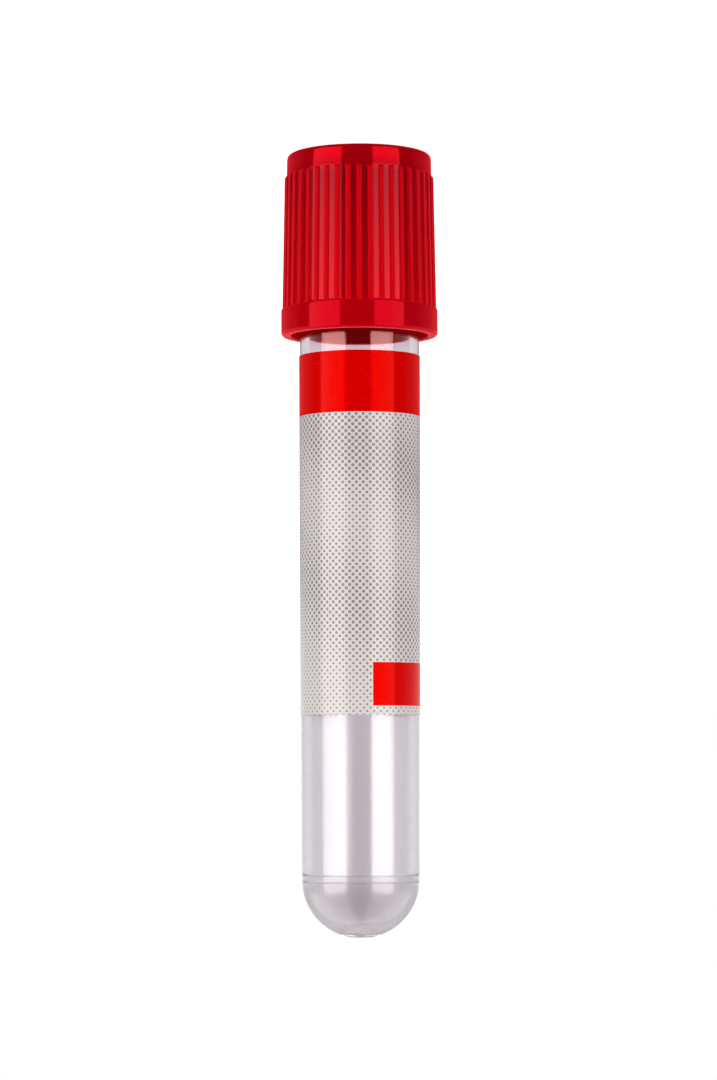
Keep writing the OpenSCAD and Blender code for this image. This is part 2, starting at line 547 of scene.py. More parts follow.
@dataclass(frozen=True)
class CapPolyethylene:
    """Red moulded polyethylene: polished walls, and grip ribs blasted to a satin.

    Fine drag lines run round the walls, and make their highlights uneven. The walls'
    colours and lustre are given by height in millimetres above the floor; the colours
    darken towards the top of the grip as painted shade.
    """

    # The walls' red by height; its darkening towards the top of the grip is painted shade.
    wall_red_and_shade_stops: tuple[Shade, ...] = (
        (1.2, "#8C0004"),
        (3.0, "#540004"),
        (15.0, "#8A0005"),
        (17.5, "#900005"),
    )
    lustre_stops: tuple[Point, ...] = ((1.2, 0.42), (3.0, 0.38), (16.4, 0.38), (17.5, 0.22))
    # The ribs' red is lighter than the walls': partly the satin's own paler look, partly
    # painted light that the rounded ribs catch.
    rib: str = "#AA0002"
    sheen_tint: str = "#FF0420"
    gloss_tint: str = "#FF3C68"
    sheen: float = 1.0
    sheen_roughness: float = 0.75
    specular: float = 0.24
    lustre_spread: float = 0.4
    ior: float = 1.54
    lamp_share: str = "#A00008"
    wall_roughness: float = 0.1
    rib_roughness: float = 0.5
    # Real drag lines are finer still; these are as coarse as they need to be to show.
    streak_mm: float = 0.13
    streaks_per_m_round: float = 150.0
    bump: float = 0.25
    bump_mm: float = 0.01
    rib_attribute: str = "rib"
    name: str = "polyethylene_red_moulded"

    def build(self) -> bpy.types.Material:
        """Makes the material; an attribute of the cap says where its ribs are."""
        material, tree = new_material(self.name)
        rib = add_node(tree, "ShaderNodeAttribute", attribute_name=self.rib_attribute)
        on_rib = rib.outputs["Fac"]
        wall = shade_by_height(tree, [(at, srgb(code)) for at, code in self.wall_red_and_shade_stops])
        colour = add_node(
            tree, "ShaderNodeMix", {0: on_rib, 6: wall, 7: srgb(self.rib)}, data_type="RGBA"
        )
        rough = add_node(
            tree,
            "ShaderNodeMapRange",
            {0: on_rib, 3: self.wall_roughness, 4: self.rib_roughness},
        )
        place = add_node(tree, "ShaderNodeTexCoord")
        round_by, up_by = self.streaks_per_m_round, 1 / (self.streak_mm * MM)
        turned = add_node(
            tree,
            "ShaderNodeMapping",
            {"Vector": place.outputs["Object"], "Scale": (round_by, round_by, up_by)},
        )
        streaks = add_node(tree, "ShaderNodeTexNoise", {"Vector": turned, "Scale": 1.0})
        low, high = 1 - self.lustre_spread, 1 + self.lustre_spread
        uneven = add_node(
            tree,
            "ShaderNodeMapRange",
            {0: streaks, 1: NOISE_LOW, 2: NOISE_HIGH, 3: low, 4: high},
        )
        shine = shade_by_height(tree, [(at, grey(v)) for at, v in self.lustre_stops])
        polish = add_node(
            tree, "ShaderNodeMath", {0: shine, 1: uneven}, operation="MULTIPLY"
        )
        lustre = add_node(tree, "ShaderNodeMapRange", {0: on_rib, 3: polish, 4: 0.0})
        bump = add_node(
            tree,
            "ShaderNodeBump",
            {"Strength": self.bump, "Distance": self.bump_mm * MM, "Height": streaks},
        )
        skin = add_node(
            tree,
            "ShaderNodeBsdfPrincipled",
            {
                "Base Color": colour.outputs[2],
                "Metallic": lustre,
                "Roughness": rough,
                "IOR": self.ior,
                "Specular IOR Level": self.specular,
                "Specular Tint": srgb(self.gloss_tint),
                "Sheen Weight": self.sheen,
                "Sheen Roughness": self.sheen_roughness,
                "Sheen Tint": srgb(self.sheen_tint),
                "Normal": bump,
            },
        )
        close_material(tree, let_lamps_through(tree, skin, self.lamp_share))
        return material


@dataclass(frozen=True)
class PolishedMouth:
    """The cap's mouth: the same red polyethylene, off a polished core pin, coloured a
    lighter red as painted light for the glow of the thin skirt lit through from behind.

    Its high index gives the deep red glints that show in the tube's neck.
    """

    # A lighter red than the walls': painted light for the glow of the thin skirt.
    colour: str = "#C80010"
    tint: str = "#FF2030"
    ior: float = 2.0
    specular: float = 1.0
    lamp_share: str = "#D00818"
    roughness: float = 0.16

    def build(self) -> bpy.types.Material:
        """Makes the material; some of the lamps' light comes through the thin skirt."""
        material, tree = new_material("polyethylene_red_polished")
        skin = add_node(
            tree,
            "ShaderNodeBsdfPrincipled",
            {
                "Base Color": srgb(self.colour),
                "Roughness": self.roughness,
                "IOR": self.ior,
                "Specular IOR Level": self.specular,
                "Specular Tint": srgb(self.tint),
            },
        )
        close_material(tree, let_lamps_through(tree, skin, self.lamp_share))
        return material


@dataclass(frozen=True)
class PrintedFilm:
    """White polypropylene label film, gloss coated, printed with a grey halftone.

    The dots stand on a lattice turned by 45 degrees, with sizes in millimetres, and grow
    and shrink in soft slanted bands, which gives the label its cloudy grey.
    """

    uv_map: str = "print_mm"
    ground: str = "#C5BCBB"
    dot: str = "#7E7876"
    dot_pitch: float = 0.73
    dot_small: float = 0.2
    dot_large: float = 0.46
    # Half the width of a dot's soft edge, as a share of a lattice cell.
    dot_edge: float = 0.06
    roughness: float = 0.2
    specular: float = 0.32
    lamp_share: str = "#A29C9E"
    # Dot size, from small to large, up the label.
    shade_stops: tuple[Point, ...] = (
        (0.0, 0.1),
        (0.12, 0.1),
        (0.3, 0.9),
        (0.46, 0.2),
        (0.6, 0.25),
        (0.74, 1.0),
        (0.9, 0.15),
    )
    slant: float = 0.4
    height: float = 38.95

    def dot_radius(
        self, tree: bpy.types.NodeTree, uv: bpy.types.NodeSocket, cell: float
    ) -> bpy.types.NodeSocket:
        """Works out how large the dots are at a point of the label.

        Args:
            tree: The material's tree.
            uv: Position on the label, in millimetres.
            cell: Width of a lattice cell, in millimetres.

        Returns:
            The dots' radius there, as a share of a cell.
        """
        place = add_node(tree, "ShaderNodeSeparateXYZ", {0: uv})
        slanted = add_node(
            tree,
            "ShaderNodeMath",
            {0: place.outputs["X"], 1: self.slant, 2: place.outputs["Y"]},
            operation="MULTIPLY_ADD",
        )
        level = add_node(
            tree, "ShaderNodeMath", {0: slanted, 1: self.height}, operation="DIVIDE"
        )
        shade = add_node(tree, "ShaderNodeValToRGB", {0: level})
        shade.color_ramp.interpolation = "B_SPLINE"
        fill_ramp(shade, [(at, grey(value)) for at, value in self.shade_stops])
        small, large = self.dot_small / 2 / cell, self.dot_large / 2 / cell
        radius = add_node(tree, "ShaderNodeMapRange", {0: shade, 3: small, 4: large})
        return radius.outputs[0]

    def build(self) -> bpy.types.Material:
        """Makes the material; its pattern lies on the label's own map, in millimetres."""
        material, tree = new_material("polypropylene_film_halftone")
        uv = add_node(tree, "ShaderNodeUVMap", uv_map=self.uv_map).outputs[0]
        cell = self.dot_pitch / math.sqrt(2)
        lattice = add_node(
            tree,
            "ShaderNodeMapping",
            {
                "Vector": uv,
                "Rotation": (0, 0, math.radians(45)),
                "Scale": (1 / cell, 1 / cell, 0),
            },
        )
        within = add_node(tree, "ShaderNodeVectorMath", {0: lattice}, operation="FRACTION")
        reach = add_node(
            tree,
            "ShaderNodeVectorMath",
            {0: within, 1: (0.5, 0.5, 0)},
            operation="DISTANCE",
        )
        radius = self.dot_radius(tree, uv, cell)
        inside, outside = (
            add_node(tree, "ShaderNodeMath", {0: radius, 1: self.dot_edge}, operation=way)
            for way in ("SUBTRACT", "ADD")
        )
        ink = add_node(
            tree,
            "ShaderNodeMapRange",
            {0: reach.outputs["Value"], 1: inside, 2: outside, 3: 1.0, 4: 0.0},
            interpolation_type="SMOOTHSTEP",
        )
        colour = add_node(
            tree,
            "ShaderNodeMix",
            {0: ink, 6: srgb(self.ground), 7: srgb(self.dot)},
            data_type="RGBA",
        )
        film = add_node(
            tree,
            "ShaderNodeBsdfPrincipled",
            {
                "Base Color": colour.outputs[2],
                "Roughness": self.roughness,
                "Specular IOR Level": self.specular,
            },
        )
        close_material(tree, let_lamps_through(tree, film, self.lamp_share))
        return material


@dataclass(frozen=True)
class RedInk:
    """Solid red printing ink under the film's gloss coat.

    It lies a little unevenly, which gives the solid fields a fine mottle. The real
    mottle is finer; this one is as coarse as it needs to be to show.
    """

    thin: str = "#C80000"
    thick: str = "#B20000"
    mottle_mm: float = 0.3
    gloss_tint: str = "#FF3018"
    specular: float = 0.3
    lamp_share: str = "#A20808"
    lustre: float = 0.08
    ior: float = 1.5
    sheen: float = 0.8
    sheen_roughness: float = 0.7
    sheen_tint: str = "#FF0800"
    roughness: float = 0.16

    def build(self) -> bpy.types.Material:
        """Makes the material."""
        material, tree = new_material("printing_ink_red")
        place = add_node(tree, "ShaderNodeTexCoord")
        mottle = add_node(
            tree,
            "ShaderNodeTexNoise",
            {"Vector": place.outputs["Object"], "Scale": 1 / (self.mottle_mm * MM)},
        )
        laid = add_node(
            tree, "ShaderNodeMapRange", {0: mottle, 1: NOISE_LOW, 2: NOISE_HIGH}
        )
        ink = add_node(
            tree,
            "ShaderNodeMix",
            {0: laid, 6: srgb(self.thin), 7: srgb(self.thick)},
            data_type="RGBA",
        )
        film = add_node(
            tree,
            "ShaderNodeBsdfPrincipled",
            {
                "Base Color": ink.outputs[2],
                "Metallic": self.lustre,
                "Roughness": self.roughness,
                "IOR": self.ior,
                "Sheen Weight": self.sheen,
                "Sheen Roughness": self.sheen_roughness,
                "Sheen Tint": srgb(self.sheen_tint),
                "Specular IOR Level": self.specular,
                "Specular Tint": srgb(self.gloss_tint),
            },
        )
        close_material(tree, let_lamps_through(tree, film, self.lamp_share))
        return material


@dataclass(frozen=True)
class ButylRubber:
    """Moulded dark grey butyl rubber: matte, with a fine grain from its mould."""

    colour: str = "#292626"
    roughness: float = 0.5
    grain_mm: float = 0.15
    bump: float = 0.3
    bump_mm: float = 0.03

    def build(self) -> bpy.types.Material:
        """Makes the material."""
        material, tree = new_material("butyl_rubber_moulded")
        place = add_node(tree, "ShaderNodeTexCoord")
        grain = add_node(
            tree,
            "ShaderNodeTexNoise",
            {"Vector": place.outputs["Object"], "Scale": 1 / (self.grain_mm * MM)},
        )
        bump = add_node(
            tree,
            "ShaderNodeBump",
            {"Strength": self.bump, "Distance": self.bump_mm * MM, "Height": grain},
        )
        skin = add_node(
            tree,
            "ShaderNodeBsdfPrincipled",
            {"Base Color": srgb(self.colour), "Roughness": self.roughness, "Normal": bump},
        )
        close_material(tree, skin.outputs[0])
        return material


# --------------------------------------------------------------------------------------
# The tube and its label
# --------------------------------------------------------------------------------------


@dataclass
class ClearTube:
    """The clear plastic tube: round end, drafted barrel and straight seat at its mouth."""

    length: float = 75.0
    mouth_r: float = 6.5
    wall: float = 1.0
    draft: float = 0.13
    end_t: float = 1.3
    seat_len: float = 9.5
    flat_r: float = 1.25
    pad_r: float = 1.85
    groove_w: float = 0.5
    groove_depth: float = 0.04
    ring_w: float = 0.35
    parting_z: tuple[float, float] = (6.06, 6.8)
    parting_w: float = 0.2
    parting_depth: float = 0.05
    # The part of the barrel that the cap's mouth shows through.
    neck_z: tuple[float, float] = (62.5, 68.0)
    rim_round: float = 0.3
    edge_round: float = 0.03
    # Rows this far beyond an edge keep the smooth shading at the edge.
    margin: float = 0.05
    dome_lip: float = 0.1
    # Angles in degrees, from the equator towards the pole, where the arcs of rows end.
    dome_end: float = -3.0
    bore_end: float = -89.5
    segments: int = 256
    dome_steps: int = 40

    @property
    def end_r(self) -> float:
        """Radius of the round end."""
        return self.mouth_r - self.draft

    @property
    def end_z(self) -> float:
        """Height of the round end's centre above the pole."""
        return math.sqrt(self.end_r**2 - self.flat_r**2)

    @property
    def bore_r(self) -> float:
        """Radius of the bore where it meets its round end."""
        return self.end_r - self.wall

    @property
    def groove_r(self) -> float:
        """Outer radius of the groove round the gate pad."""
        return self.pad_r + self.groove_w

    def radius_at(self, z: float) -> float:
        """Outer radius of the barrel at a height above the pole."""
        if z < self.end_z:
            return math.sqrt(self.end_r**2 - (self.end_z - z) ** 2)
        return self.end_r + self.draft * (z - self.end_z) / (self.length - self.end_z)

    def dome_z_at(self, r: float) -> float:
        """Height of the round end's outside at a distance from the axis."""
        return self.end_z - math.sqrt(self.end_r**2 - r**2)

    def outline(self) -> Outline:
        """Draws the wall's section, from the pole outside to the pole inside."""
        line = Outline(closed=False, guard=0.015)
        self.draw_outside(line)
        line.to(self.mouth_r, self.length, self.rim_round)
        self.draw_bore(line)
        return line

    def draw_outside(self, line: Outline) -> None:
        """Draws the gate pad in its groove, the round end, its parting lines and barrel."""
        rim_z = self.dome_z_at(self.groove_r)
        floor_z = rim_z + self.groove_depth
        line.to(0, 0)
        for r, z in (
            (self.flat_r, 0),
            (self.pad_r, self.dome_z_at(self.pad_r)),
            (self.pad_r, floor_z),
            (self.groove_r, floor_z),
            (self.groove_r, rim_z),
        ):
            line.to(r, z, self.edge_round, 3)
        first = math.degrees(math.asin((self.groove_r + self.dome_lip) / self.end_r)) - 90
        line.arc(0, self.end_z, self.end_r, first, self.dome_end, self.dome_steps)
        half = self.parting_w / 2
        for z in self.parting_z:
            r = self.radius_at(z)
            line.to(r, z - half - self.margin).to(r, z - half)
            line.to(r - self.parting_depth, z)
            line.to(r, z + half).to(r, z + half + self.margin)
        for z in self.neck_z:
            line.to(self.radius_at(z), z)

    def draw_bore(self, line: Outline) -> None:
        """Draws the inside, from the mouth down to the pole."""
        seat_r, seat_z = self.mouth_r - self.wall, self.length - self.seat_len
        bore_z = self.end_t + self.bore_r
        low, high = self.neck_z
        share = (low - bore_z) / (seat_z - bore_z)
        line.to(seat_r, self.length, self.rim_round)
        line.to(seat_r, high).to(seat_r, seat_z)
        line.to(self.bore_r + (seat_r - self.bore_r) * share, low)
        line.to(self.bore_r, bore_z + self.margin)
        line.arc(0, bore_z, self.bore_r, 0, self.bore_end, self.dome_steps)
        line.to(0, self.end_t)

    def zone_at(self, at: Vector) -> TubeZone:
        """Says which zone a point of the tube's surface lies in."""
        core = Vector((0, 0, self.end_t + self.bore_r))
        off_axis = at.xy.length
        if self.neck_z[0] < at.z < self.neck_z[1]:
            return TubeZone.NECK
        if at.z < core.z and (at - core).length < self.bore_r + self.margin:
            return TubeZone.CORE_END
        if at.z < self.end_t / 2 and self.pad_r < off_axis < self.groove_r + self.ring_w:
            return TubeZone.GATE_RING
        near_line = any(abs(at.z - z) < self.parting_w / 2 for z in self.parting_z)
        if near_line and off_axis > self.bore_r:
            return TubeZone.PARTING_LINE
        return TubeZone.BARREL

    def finishes(self) -> dict[TubeZone, ClearPet]:
        """Gives each zone its finish."""
        return {
            TubeZone.BARREL: ClearPet(),
            # Polished, so that the cap's mouth shows through. Its pink tint, pinker towards
            # the cap, and its pink glints are a painted reflection of the cap's red.
            TubeZone.NECK: ClearPet(
                shades=((17.6, "#E2C8CF"), (20.2, "#E2CFD6"), (21.0, "#E4D8DD")),
                glint="#FFB4AE",
                roughness=0.04,
                ior=1.6,
                name="pet_clear_under_cap",
            ),
            # Rougher than the wall, with a grey tint that darkens towards the pole: painted
            # shade for the round end's darker middle.
            TubeZone.CORE_END: ClearPet(
                shades=((78.3, "#D0CAD0"), (79.7, "#B6AEB6"), (83.6, "#A89FA8")),
                roughness=0.42,
                name="pet_clear_core_end",
            ),
            # A dull ring round the gate's insert; its darker tint is painted shade round
            # the gate.
            TubeZone.GATE_RING: ClearPet(
                tint="#CCC4CC", roughness=0.3, name="pet_clear_gate_ring"
            ),
            # Fine grooves, tinted a shade darker than the wall beside them: painted shade
            # in the grooves.
            TubeZone.PARTING_LINE: ClearPet(tint="#C2BBC2", name="pet_clear_parting_line"),
        }

    def build(self, dresser: Dresser) -> None:
        """Makes the tube and puts it in the frame."""
        mesh = spin("tube_clear", self.outline(), self.segments, Corner.CRISP)
        for face in mesh.polygons:
            face.material_index = self.zone_at(face.center).value
        materials = [finish.build() for finish in self.finishes().values()]
        dresser.add(mesh, materials, Body.TUBE, "tube_clear", ("tube",))


@dataclass
class Label:
    """The wrapped film, with a red band, a red block and a clear window at the back."""

    tube: ClearTube
    from_z: float = 24.05
    height: float = 38.95
    lift: float = 0.01
    thickness: float = 0.08
    window_w: float = 6.0
    band_h: float = 6.6
    block_h: float = 4.65
    block_w: float = 10.0
    block_inset: float = 0.95
    block_start: float = 12.0
    steps: int = 180
    middle_rows_z: tuple[float, float] = (40.0, 50.0)
    # Faces without print are mapped to plain ground, below the label's edge.
    unprinted_uv: Point = (0.18, -9.0)

    @property
    def block_low_z(self) -> float:
        """Height of the red block's lower edge."""
        return self.from_z + self.block_inset

    @property
    def top_z(self) -> float:
        """Height of the edge next to the cap."""
        return self.from_z + self.height

    @property
    def block_angles(self) -> Point:
        """Angles of the red block's sides."""
        start = math.radians(self.block_start)
        return start, start + self.block_w / self.tube.radius_at(self.from_z)

    def angles(self) -> np.ndarray:
        """Angles of the film's columns, with the block's sides among them."""
        half = math.pi - self.window_w / self.tube.radius_at(self.from_z) / 2
        marks = self.block_angles
        plain = np.linspace(-half, half, self.steps + 1)
        far = np.min([np.abs(plain - m) for m in marks], axis=0) > half / self.steps / 2
        ends = (plain == plain[0]) | (plain == plain[-1])
        return np.sort(np.concatenate((plain[far | ends], marks)))

    def levels(self) -> list[float]:
        """Heights of the film's rows, with the red fields' edges among them."""
        block = (self.block_low_z, self.block_low_z + self.block_h)
        band = (self.top_z - self.band_h, self.top_z)
        return [self.from_z, *block, *self.middle_rows_z, *band]

    def is_red(self, angle: float, z: float) -> bool:
        """Says whether a point of the outer face lies in a red field."""
        first, last = self.block_angles
        low = self.block_low_z
        in_block = first < angle < last and low < z < low + self.block_h
        return in_block or z > self.top_z - self.band_h

    def build(self, dresser: Dresser) -> None:
        """Makes the film as one closed strip and puts it in the frame."""
        film = PrintedFilm(height=self.height)
        angles, levels = self.angles(), self.levels()
        loop = [(self.tube.radius_at(z) + self.lift + self.thickness, z) for z in levels]
        loop += [(self.tube.radius_at(z) + self.lift, z) for z in reversed(levels)]
        n, m = len(loop), len(angles)
        verts = [(r * math.sin(a), -r * math.cos(a), z) for a in angles for r, z in loop]
        ends = [tuple(range(n)), tuple(range((m - 1) * n, m * n))]
        mesh = new_mesh("label_film", verts, ends + strip_faces(m, n))
        finish_mesh(mesh, Corner.CRISP)
        self.map_print(mesh, angles, loop, len(levels), film.uv_map)
        materials = [film.build(), RedInk().build()]
        stands_for = ("label", "label_band", "label_block")
        dresser.add(mesh, materials, Body.TUBE, "label_film", stands_for)

    def map_print(
        self,
        mesh: bpy.types.Mesh,
        angles: np.ndarray,
        loop: list[Point],
        outer: int,
        uv_map: str,
    ) -> None:
        """Lays the print's map on the outer face, and its red fields' material.

        Args:
            mesh: The film's mesh.
            angles: The angle of each column.
            loop: The section's points, the outer face's first.
            outer: How many of them are on the outer face.
            uv_map: The map's name.
        """
        uv = mesh.uv_layers.new(name=uv_map)
        n = len(loop)
        r = self.tube.radius_at(self.from_z)
        for face in mesh.polygons:
            rows = [v % n for v in face.vertices]
            cols = [v // n for v in face.vertices]
            shown = max(rows) < outer and len(set(cols)) > 1
            for corner, row, col in zip(face.loop_indices, rows, cols):
                at = (angles[col] * r, loop[row][1] - self.from_z)
                uv.data[corner].uv = at if shown else self.unprinted_uv
            if shown:
                angle = sum(angles[c] for c in cols) / len(cols)
                z = sum(loop[i][1] for i in rows) / len(rows)
                face.material_index = int(self.is_red(angle, z))


# --------------------------------------------------------------------------------------
# The closure
# --------------------------------------------------------------------------------------


@dataclass
class Cap:
    """The red cap: smooth skirt, grip ribs and smooth top band, hollow inside."""

    skirt_z: float = 65.22
    top_z: float = 84.92
    skirt_r: float = 8.5
    skirt_len: float = 3.0
    skirt_round: float = 0.35
    ledge_round: float = 0.25
    grip_r: float = 8.14
    grip_top_r: float = 7.82
    band_len: float = 2.2
    top_round: float = 0.5
    root_round: float = 0.12
    rib_count: int = 42
    rib_w: float = 0.65
    rib_h: float = 0.23
    rib_flank: float = 0.1
    rib_end: float = 0.4
    rib_crown: float = 0.18
    valley_lip: float = 0.05
    mouth_r: float = 7.45
    mouth_len: float = 2.4
    mouth_chamfer: float = 0.12
    socket_r: float = 6.85
    closure_z: float = 75.02
    pocket_r: float = 7.27
    pocket_z: float = 83.42
    hole_r: float = 5.82
    hole_lip: float = 0.3
    hole_round: float = 0.15
    inner_round: float = 0.1
    # Rows of vertices: these far beyond an edge, and at these heights up the grip.
    margin: float = 0.05
    row_gap: float = 0.06
    rib_end_lead: float = 0.1
    grip_rows_z: tuple[float, ...] = (72.0, 75.5, 79.0, 81.5)
    rib_end_rows: int = 13
    # Columns of vertices across half a rib's flat top, as shares of it, and beside it.
    crown_columns: tuple[float, ...] = (0.0, 0.45, 0.8)
    flank_columns: int = 7
    flank_gap: float = 0.07
    # Neighbouring sectors' vertices that are closer than this become one.
    join: float = 0.002
    zone_margin: float = 0.1
    mouth_margin: float = 0.02

    @property
    def grip_z(self) -> float:
        """Height of the ledge that the ribs stand on."""
        return self.skirt_z + self.skirt_len

    @property
    def rib_top_z(self) -> float:
        """Height at which the ribs end."""
        return self.top_z - self.band_len

    @property
    def rib_face_r(self) -> float:
        """Radius of a rib's face at its foot."""
        return self.grip_r + self.rib_h

    def grip_r_at(self, z: float) -> float:
        """Radius of the grip between its ribs at a height."""
        share = (z - self.grip_z) / (self.top_z - self.grip_z)
        return self.grip_r + (self.grip_top_r - self.grip_r) * share

    @staticmethod
    def plain(points: list[Point]) -> list[RowPair]:
        """Gives points as rows where a rib changes nothing."""
        return [((r, z, 0.0), (r, z, 0.0)) for r, z in points]

    def skirt_rows(self) -> list[RowPair]:
        """Draws the skirt, from its mouth's edge to below the ledge."""
        centre_z = self.skirt_z + self.skirt_round
        edge = Outline(closed=False)
        edge.arc(self.skirt_r - self.skirt_round, centre_z, self.skirt_round, -90, 0, 7)
        points = [(self.mouth_r + self.mouth_chamfer, self.skirt_z), *edge.trace()]
        points.append((self.skirt_r, centre_z + self.margin))
        points.append((self.skirt_r, self.grip_z - self.ledge_round - self.margin))
        return self.plain(points)

    def ledge_rows(self) -> list[RowPair]:
        """Draws the ledge's rounding, which runs on into the foot of each rib."""
        arc_r, arc_z = self.skirt_r - self.ledge_round, self.grip_z - self.ledge_round
        meet = math.degrees(math.acos((self.rib_face_r - arc_r) / self.ledge_round))
        steps, rib_from = 5, 0.6
        valley, rib = (
            Outline(closed=False).arc(arc_r, arc_z, self.ledge_round, 0, end, steps).trace()
            for end in (90, meet)
        )
        shares = (max(0.0, i / steps - rib_from) / (1 - rib_from) for i in range(steps + 1))
        return [((*v, 0.0), (*m, share)) for v, m, share in zip(valley, rib, shares)]

    def root_rows(self) -> list[RowPair]:
        """Draws the fillet in the valley's foot, while the rib goes straight up."""
        steps, lift = 4, 0.02
        r, z = self.grip_r + self.root_round, self.grip_z + self.root_round
        root = Outline(closed=False).arc(r, z, self.root_round, -90, -180, steps)
        rises = (lift + i * (self.root_round - lift) / steps for i in range(steps + 1))
        return [
            ((r, z, 0.0), (self.rib_face_r, self.grip_z + rise, 1.0))
            for (r, z), rise in zip(root.trace(), rises)
        ]

    def grip_rows(self) -> list[RowPair]:
        """Draws the drafted grip and the eased ends of its ribs."""
        out: list[RowPair] = []
        heights = [self.grip_z + self.root_round + self.row_gap, *self.grip_rows_z]
        first = self.rib_top_z - self.rib_end - self.rib_end_lead
        last = self.rib_top_z + self.row_gap
        heights += list(np.linspace(first, last, self.rib_end_rows))
        for z in heights:
            share = ease((self.rib_top_z - z) / self.rib_end)
            r = self.grip_r_at(z)
            out.append(((r, z, 0.0), (r + self.rib_h * share, z, share)))
        return out

    def top_rows(self) -> list[RowPair]:
        """Draws the smooth top band and the rounded edge of the cap's top."""
        centre_r, centre_z = self.grip_top_r - self.top_round, self.top_z - self.top_round
        heights = (self.rib_top_z + 2 * self.row_gap, centre_z - self.margin)
        points = [(self.grip_r_at(z), z) for z in heights]
        edge = Outline(closed=False).arc(centre_r, centre_z, self.top_round, 0, 90, 9)
        return self.plain(points + edge.trace())

    def inner_rows(self) -> list[RowPair]:
        """Draws the inside: hole, pockets for ring and stopper, socket and mouth."""
        inner = Outline(closed=False)
        inner.to(self.hole_r + self.hole_lip, self.top_z)
        inner.to(self.hole_r, self.top_z, self.hole_round, 3)
        inner.to(self.hole_r, self.pocket_z, self.inner_round, 2)
        inner.to(self.pocket_r, self.pocket_z)
        inner.to(self.pocket_r, self.closure_z).to(self.socket_r, self.closure_z)
        inner.to(self.socket_r, self.skirt_z + self.mouth_len)
        inner.to(self.mouth_r, self.skirt_z + self.mouth_len, self.inner_round, 2)
        inner.to(self.mouth_r, self.skirt_z + self.mouth_chamfer)
        return self.plain(inner.trace())

    def rows(self) -> list[RowPair]:
        """Draws the section twice, through a valley and through a rib.

        Returns:
            For each row of vertices, radius, height and rib share in a valley and on a rib.
        """
        rows = self.skirt_rows() + self.ledge_rows() + self.root_rows()
        return rows + self.grip_rows() + self.top_rows() + self.inner_rows()

    def columns(self) -> list[Point]:
        """Spaces one rib and half a valley each side.

        Returns:
            For each column, its angle and how much of the rib's height stands there.
        """
        half_pitch = math.pi / self.rib_count
        r = self.grip_r + self.rib_h / 2
        outer = self.rib_w / 2
        inner = outer - self.rib_flank
        across = [inner * share for share in self.crown_columns]
        across += list(np.linspace(inner, outer, self.flank_columns))
        across += [outer + self.flank_gap, half_pitch * r]
        half = []
        for u in across:
            crown = 1 - self.rib_crown * min(u / inner, 1.0) ** 2
            half.append((u / r, ease((outer - u) / (outer - inner)) * crown))
        return [(-a, s) for a, s in reversed(half[1:])] + half

    def sector(self) -> bpy.types.Mesh:
        """Makes one rib's share of the cap, open at its two sides."""
        rows, columns = self.rows(), self.columns()
        verts, shares = [], []
        for angle, stand in columns:
            for valley, rib in rows:
                r, z, share = (v + (w - v) * stand for v, w in zip(valley, rib))
                verts.append((r * math.sin(angle), -r * math.cos(angle), z))
                shares.append(share)
        mesh = new_mesh("cap_sector", verts, strip_faces(len(columns), len(rows)))
        on_rib = mesh.attributes.new(CapPolyethylene.rib_attribute, "FLOAT", "POINT")
        on_rib.data.foreach_set("value", shares)
        return mesh

    def zone_at(self, at: Vector) -> CapZone:
        """Says which zone a point of the cap's surface lies in."""
        r = at.xy.length
        mouth_top_z = self.skirt_z + self.mouth_len + self.zone_margin
        if r < self.mouth_r + self.mouth_margin and at.z < mouth_top_z:
            return CapZone.MOUTH
        on_floor = abs(r - self.grip_r_at(at.z)) < self.valley_lip
        in_grip = self.grip_z + self.zone_margin < at.z < self.rib_top_z
        return CapZone.VALLEY if in_grip and on_floor else CapZone.WALL_AND_RIBS

    def build(self, dresser: Dresser, finish: bpy.types.Material) -> None:
        """Repeats the sector round the axis and puts the cap in the frame."""
        mesh = repeat_round("cap_red", self.sector(), self.rib_count, self.join, finish)
        finish_mesh(mesh, Corner.CRISP)
        for face in mesh.polygons:
            face.material_index = self.zone_at(face.center).value
        # The valleys' floors are as smooth as the walls, and their highlights paler.
        valley = CapPolyethylene(
            specular=0.4, gloss_tint="#FF9098", name="polyethylene_red_valleys"
        )
        materials = [finish, PolishedMouth().build(), valley.build()]
        dresser.add(mesh, materials, Body.CLOSURE, "cap_red", ("cap",))


@dataclass
class CapRing:
    """The ring snapped into the cap's top, round the needle opening."""

    opening_r: float = 4.4
    outer_r: float = 5.8
    low_z: float = 79.04
    bead_z: float = 83.4
    bead: float = 0.25
    top_z: float = 84.72
    chamfer: float = 0.3
    low_round: float = 0.1
    bead_round: float = 0.06
    top_round: float = 0.15
    chamfer_round: float = 0.12
    segments: int = 144

    def build(self, dresser: Dresser, finish: bpy.types.Material) -> None:
        """Makes the ring and puts it in the frame."""
        bead_r, bead_low_z = self.outer_r + self.bead, self.bead_z - self.bead
        line = Outline()
        line.to(self.opening_r, self.low_z, self.low_round, 2)
        line.to(self.outer_r, self.low_z, self.low_round, 2)
        line.to(self.outer_r, self.bead_z - 2 * self.bead)
        line.to(bead_r, bead_low_z, self.bead_round, 2)
        line.to(bead_r, self.bead_z, self.bead_round, 2)
        line.to(self.outer_r, self.bead_z)
        line.to(self.outer_r, self.top_z, self.top_round, 3)
        line.to(self.opening_r + self.chamfer, self.top_z, self.chamfer_round, 3)
        line.to(self.opening_r, self.top_z - self.chamfer, self.chamfer_round, 3)
        mesh = spin("cap_ring_red", line, self.segments, Corner.CRISP)
        dresser.add(mesh, [finish], Body.CLOSURE, "cap_red", ("cap_ring",))


